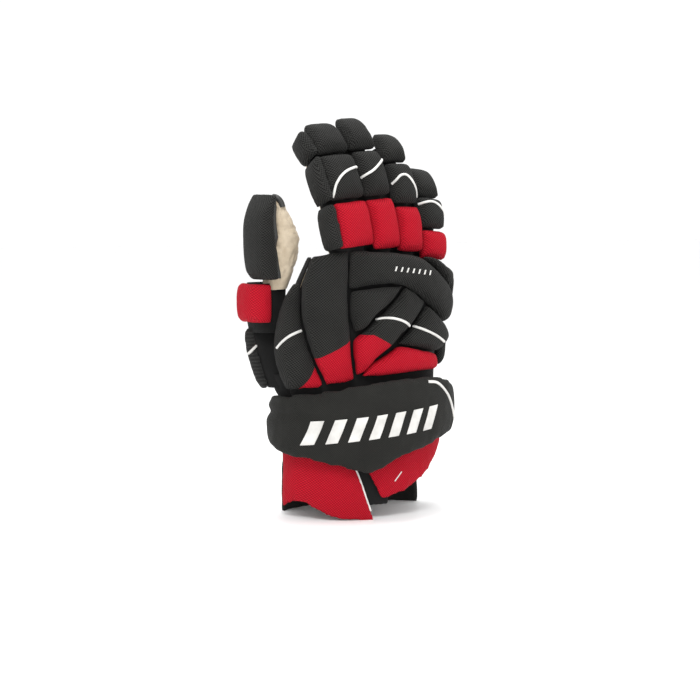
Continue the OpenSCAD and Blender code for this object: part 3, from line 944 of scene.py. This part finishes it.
def patch_stitches(patch):
    """One row of stitches round the border of the palm patch."""
    low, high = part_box("palm_patch")
    tree = skin_of(patch)
    foot, head = low.z + 3 * MM, high.z - 3 * MM
    corners = [Vector((x, 30 * MM, z)) for x, z in (
        (low.x + 16 * MM, foot), (high.x - 13 * MM, foot),
        (high.x - 20 * MM, head), (low.x + 12 * MM, head))]
    sides = zip(corners, corners[1:] + corners[:1])
    paths = [laid_on(tree, side, -TOWARD_PALM, 150, lift=0.1 * MM) for side in sides]
    finish_piece(stitched("palm_patch_stitches", paths), THREAD, "hand")


STITCH_STEP, STITCH_LENGTH, STITCH_RADIUS = 3.2 * MM, 2.1 * MM, 0.35 * MM


def stitched(name, paths):
    """Short threads with gaps between them along the paths, as one mesh."""
    form = Matrix.Diagonal((STITCH_RADIUS, STITCH_RADIUS, STITCH_LENGTH / 2, 1))
    bm = bmesh.new()
    for path in paths:
        walked, last = 0.0, None
        for a, b in zip(path, path[1:]):
            walked += (b - a).length
            if last is not None and walked - last < STITCH_STEP:
                continue
            last = walked
            way = (b - a).normalized()
            turn = Vector((0, 0, 1)).rotation_difference(way).to_matrix().to_4x4()
            at = Matrix.Translation(a + way * STITCH_LENGTH / 2) @ turn
            bmesh.ops.create_uvsphere(bm, u_segments=8, v_segments=6, radius=1,
                                      matrix=at @ form)
    mesh = bpy.data.meshes.new(name)
    bm.to_mesh(mesh)
    bm.free()
    obj = new_object(name, mesh)
    smooth_shade(obj)
    return obj


# -------- thumb

THUMB_TURN = Matrix.Rotation(math.radians(-80), 3, "Z")
THUMB_TO_BACK, THUMB_TO_PAD, THUMB_UP = THUMB_TURN.col


def thumb_point(origin, x, y, z):
    """The point at x to the back, y to the pad and z up the thumb."""
    return origin + THUMB_TO_BACK * x + THUMB_TO_PAD * y + THUMB_UP * z


def sized(node, origin):
    """A node's box in the thumb's own axes."""
    local = in_frame(nodes[node], origin, THUMB_TURN)
    return local.min(axis=0), local.max(axis=0)


# cream stall: (height, share of its width, share of its depth, shift towards the pad in mm)
LINER_FORM = ((-7, 0.80, 0.80, -3.6), (-2, 0.84, 0.86, -2.4), (5, 0.92, 0.95, -0.4),
              (14, 0.97, 1.08, 1.4), (26, 1.0, 1.20, 2.8), (38, 1.0, 1.24, 3.4),
              (48, 0.95, 1.10, 2.2), (58, 0.88, 0.84, -0.6), (68, 0.76, 0.62, -2.6),
              (74, 0.55, 0.42, -4), (77.5, 0.18, 0.14, -5))
# the outer roll narrows by EDGE_SLANT from 4 mm over 66 mm; its tip rounds from TIP_FROM up
EDGE_SLANT = 0.40
TIP_FROM, TIP_SHIFT, TIP_NARROW = 46 * MM, 10 * MM, 0.42
# height over which the binding follows the tip
TIP_LENGTH = 29 * MM


def roll_edge(z):
    """Share of the outer roll's reach over the back of the thumb, at a height."""
    return 1 - EDGE_SLANT * min(max((z / MM - 4) / 66, 0), 1)


def shape_thumb_roll(roll, top):
    """Slants the roll's inner edge and rounds its top; returns its reach towards the pad."""
    local = in_frame(roll, top, THUMB_TURN)
    low, high = local.min(axis=0), local.max(axis=0)
    share = np.array([roll_edge(z) for z in local[:, 2]])
    t = np.clip((local[:, 2] - TIP_FROM) / (high[2] - TIP_FROM), 0, 1) ** 2
    local[:, 1] = (low[1] + TIP_SHIFT * t
                   + (local[:, 1] - low[1]) * share * (1 - TIP_NARROW * t))
    local[:, 2] += 0.8 * MM * np.clip((14 * MM - local[:, 2]) / (12 * MM), 0, 1)
    put_back(roll, local, top, THUMB_TURN)
    return low[1], high[1]


def thumb(pads):
    """The thumb's rolls, its stall and the cloth round its base."""
    foot, top = hinge_at["thumb_base_joint"], hinge_at["thumb_joint"]
    reach = shape_thumb_roll(pads["thumb_roll"], top)
    for node, body in (("thumb_base_roll", "thumb_base"), ("thumb_roll", "thumb")):
        weave_uv(pads[node], turn=WEAVE_TURN)
        finish_piece(pads[node], RED if body == "thumb_base" else BLACK, body, node)
    base_sleeve(foot, top)
    tube = liner(top)
    binding(top, skin_of(tube, pads["thumb_roll"], nodes["thumb_lock"]), reach)
    repaint("thumb_lock", EDGE)


BASE_START = -8 * MM
BASE_STEPS = 18


def base_sleeve(foot, top):
    """Cloth round the base of the thumb, drawn in at its lower end."""
    low, high = sized("thumb_base_stall", foot)
    length = (top - foot).length + 5.0 * MM
    rings = []
    for i in range(BASE_STEPS + 1):
        z = BASE_START + length * i / BASE_STEPS
        pull = 1 - 0.10 * math.exp(-((z - BASE_START) / (7 * MM)) ** 2)
        rings.append(section(foot + THUMB_UP * z, THUMB_TO_BACK, THUMB_TO_PAD,
                             high[0] - low[0], low[1], high[1],
                             pull * (0.98 + 0.012 * math.sin(z / MM * 0.9))))
    tube = loft("thumb_base_cloth", rings)
    tube.data.materials.append(CLOTH)
    walled(tube, 1.0 * MM)
    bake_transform(tube)
    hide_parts("thumb_base_stall")


def liner(top):
    """The thumb's soft leather stall, with folds."""
    low, high = sized("thumb_stall", top)
    width, depth = high[0] - low[0], high[1] - low[1]
    form = np.array(LINER_FORM)
    rings = []
    for z in np.linspace(form[0, 0], form[-1, 0], 60):
        across, deep, shift = (np.interp(z, form[:, 0], form[:, k]) for k in (1, 2, 3))
        ring = []
        for i in range(RING_POINTS * 2):
            a = math.pi * i / RING_POINTS
            c, s = math.cos(a), math.sin(a)
            x = math.copysign(abs(c) ** 0.85, c) * width / 2 * across
            y = math.copysign(abs(s) ** 0.85, s) * depth / 2 * deep + shift * MM
            ring.append(thumb_point(top, x, y, z * MM))
        rings.append(ring)
    tube = loft("thumb_liner", rings, cap=True)
    points = coords(tube)
    local = in_frame(tube, top, THUMB_TURN)
    out = normals(tube)
    # noise is drawn out along the slope of the folds
    slant = local @ np.array([[1.0, 0, 0.5], [0, 1, 0.35], [0, 0, 1.9]])
    folds = wander(slant, 10 * MM, 3)
    creases = 1 - 2 * np.abs(wander(slant, 8 * MM, 5))
    fade = np.clip((local[:, 2] + 2 * MM) / (14 * MM), 0, 1)
    push = -1.4 * MM + fade * (0.9 * MM * folds - 1.5 * MM * np.maximum(creases, 0) ** 4)
    set_coords(tube, points + out * push[:, None])
    tube.data.materials.append(CREAM)
    walled(tube, 1.1 * MM)
    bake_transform(tube)
    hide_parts("thumb_stall")
    return tube


# how the binding hooks over the tip: (towards the pad, up) in millimetres
BINDING_HOOK = ((1.6, 3.4), (4.2, 4.6), (6.6, 3.2), (8.4, 0.6), (9.4, -2.4), (9.9, -5.4))


def binding(top, tree, reach):
    """Smooth rolled edge along the inner edge of the outer roll and over the thumb's tip."""
    line = []
    for i in range(31):
        z = (1 + 69 * i / 30) * MM
        t = max(0, (z - TIP_FROM) / TIP_LENGTH) ** 2
        y = (reach[0] + TIP_SHIFT * t
             + (reach[1] - reach[0]) * roll_edge(z) * (1 - TIP_NARROW * t))
        line.append(thumb_point(top, 30 * MM, y + 1.6 * MM, z))
    hook = [line[-1] + (THUMB_TO_PAD * a + THUMB_UP * b) * MM for a, b in BINDING_HOOK]
    path = laid_on(tree, line + curved(hook, 4), -THUMB_TO_BACK, 110, lift=0.4 * MM)
    finish_piece(cordlet("thumb_binding", averaged(path, 4), 2.7 * MM), EDGE, "thumb")


# -------- cuff

# equal plain slanted bars across the back of the cuff, in millimetres; each next one is higher
BAR_COUNT, BAR_STEP, BAR_CLIMB = 7, 18, 1.6
BAR_WIDTH, BAR_HEIGHT, BAR_RISE, BAR_LEAN = 10, 21, 1, 0.38
FIRST_BAR = (12, 27)
CUFF_WELT = ((128, 79.5), (138, 78), (147, 72), (155, 63), (161, 53), (165, 43))
FLAP_STITCH = ((29, 15), (36, 23))


def plate_on(name, tree, corners, columns, rows, lift, thick):
    """A thin plate over four corners: foot left, foot right, top right and top left."""
    points = []
    for i in range(rows + 1):
        for j in range(columns + 1):
            left = corners[0].lerp(corners[3], i / rows)
            right = corners[1].lerp(corners[2], i / rows)
            p = left.lerp(right, j / columns)
            hit = tree.ray_cast(p - TOWARD_PALM * RAY_START, TOWARD_PALM)[0]
            points.append((p if hit is None else hit) - TOWARD_PALM * lift)
    n = columns + 1
    faces = [(i * n + j, i * n + j + 1, (i + 1) * n + j + 1, (i + 1) * n + j)
             for i in range(rows) for j in range(columns)]
    plate = from_points(name, points, faces)
    wall = plate.modifiers.new("wall", "SOLIDIFY")
    wall.thickness = thick
    wall.offset = 0
    edge = plate.modifiers.new("edge", "BEVEL")
    edge.width = thick * 0.4
    edge.segments = 2
    baked(plate)
    smooth_shade(plate)
    return plate


def cuff(pads):
    """The cuff roll with its bars and welt, the flaps, the gusset and the lining."""
    roll = pads["cuff_roll"]
    crease_waist(roll)
    weave_uv(roll, turn=WEAVE_TURN)
    finish_piece(roll, BLACK_CUFF, "cuff", "cuff_roll")
    tree = skin_of(roll)
    foot = places_on("cuff_roll", [FIRST_BAR])[0]
    step = Vector((BAR_STEP, 0, BAR_CLIMB)) * MM
    for i in range(BAR_COUNT):
        bar = slanted(f"cuff_bar_{i + 1}", tree, foot + step * i, BAR_WIDTH, BAR_HEIGHT,
                      BAR_RISE, BAR_LEAN, columns=10, rows=8, lift=0.3 * MM, thick=0.9 * MM)
        finish_piece(bar, BADGE, "cuff")
    line = places_on("cuff_roll", CUFF_WELT)
    path = laid_on(tree, curved(line), TOWARD_PALM, 60)
    finish_piece(cordlet("cuff_welt", path, 1.3 * MM), WELT, "cuff")
    for node in ("cuff_flap_thumb", "cuff_flap_pinky", "cuff_palm_panel"):
        flap = pads[node]
        weave_uv(flap, turn=WEAVE_TURN)
        finish_piece(flap, BLACK_CUFF if node == "cuff_palm_panel" else RED, "cuff", node)
    marks = places_on("cuff_flap_pinky", FLAP_STITCH)
    path = laid_on(skin_of(pads["cuff_flap_pinky"]), marks, TOWARD_PALM, 20, lift=0.1 * MM)
    finish_piece(cordlet("flap_stitch", path, 0.5 * MM), WELT, "cuff")
    smooth_sheet("cuff_gusset_cloth", "cuff_gusset", CLOTH, "cuff", lump=0.2 * MM)
    gusset_edge(pads["cuff_flap_thumb"])
    smooth_sheet("cuff_lining_cloth", "cuff_lining", LINING, "cuff", lump=0.3 * MM)
    repaint("cuff_insert", INSERT)


def crease_waist(roll):
    """Two shallow folds round the thumb end of the cuff roll, where it bends at the wrist."""
    low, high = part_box("cuff_roll")
    span = 55 * MM
    points = coords(roll)
    along = np.clip((low.x + span - points[:, 0]) / span, 0, 1)
    z = (points[:, 2] - low.z) / (high.z - low.z)
    fold = (np.exp(-((z - 0.52 - 0.10 * along) / 0.05) ** 2)
            + 0.5 * np.exp(-((z - 0.74) / 0.05) ** 2))
    set_coords(roll, points - normals(roll) * (3.4 * MM * along ** 1.5 * fold)[:, None])


def gusset_edge(flap):
    """White binding down the edge of the thumb-side flap, with the gusset behind it."""
    points = coords(flap)
    path = []
    for z in np.linspace(6 * MM, 46 * MM, 25):
        near = points[np.abs(points[:, 2] - z) < 1.2 * MM]
        edge = near[near[:, 0].argmax()]
        path.append(Vector((edge[0] + 0.3 * MM, edge[1], z)))
    finish_piece(cordlet("cuff_gusset_binding", averaged(path, 2), 0.9 * MM), WELT, "cuff")


# -------- stage

def lamp(name, at, aim, power, size):
    """A square soft lamp."""
    data = bpy.data.lights.new(name, "AREA")
    data.energy = power
    data.size = size
    light = new_object(name, data)
    light.location = at
    light.rotation_euler = (Vector(aim) - Vector(at)).to_track_quat("-Z", "Y").to_euler()


def stage():
    """Floor, even white surroundings and three soft lamps."""
    far = 8
    floor = from_points("floor", [(-far, -far, 0), (far, -far, 0), (far, far, 0), (-far, far, 0)],
                        [(0, 1, 2, 3)])
    floor.data.materials.append(plain_floor())
    world = bpy.data.worlds.new("studio")
    world.use_nodes = True
    surround = world.node_tree.nodes["Background"]
    surround.inputs["Color"].default_value = rgb(1, 1, 1)
    surround.inputs["Strength"].default_value = 1.06
    bpy.context.scene.world = world
    target = (0, 0, 0.18)
    lamp("key", (-0.7, -1.1, 1.5), target, 16, 0.6)
    lamp("fill", (1.4, -1.0, 0.6), target, 4, 1.2)
    lamp("top", (0.1, 0.2, 1.6), target, 12, 0.7)
    bpy.context.scene.view_settings.view_transform = "Standard"


pads = make_pads()
finger_rolls(pads)
stall_sleeves()
wrist_sleeve()
backhand(pads)
hand_sheets(pads)
thumb(pads)
cuff(pads)
stage()
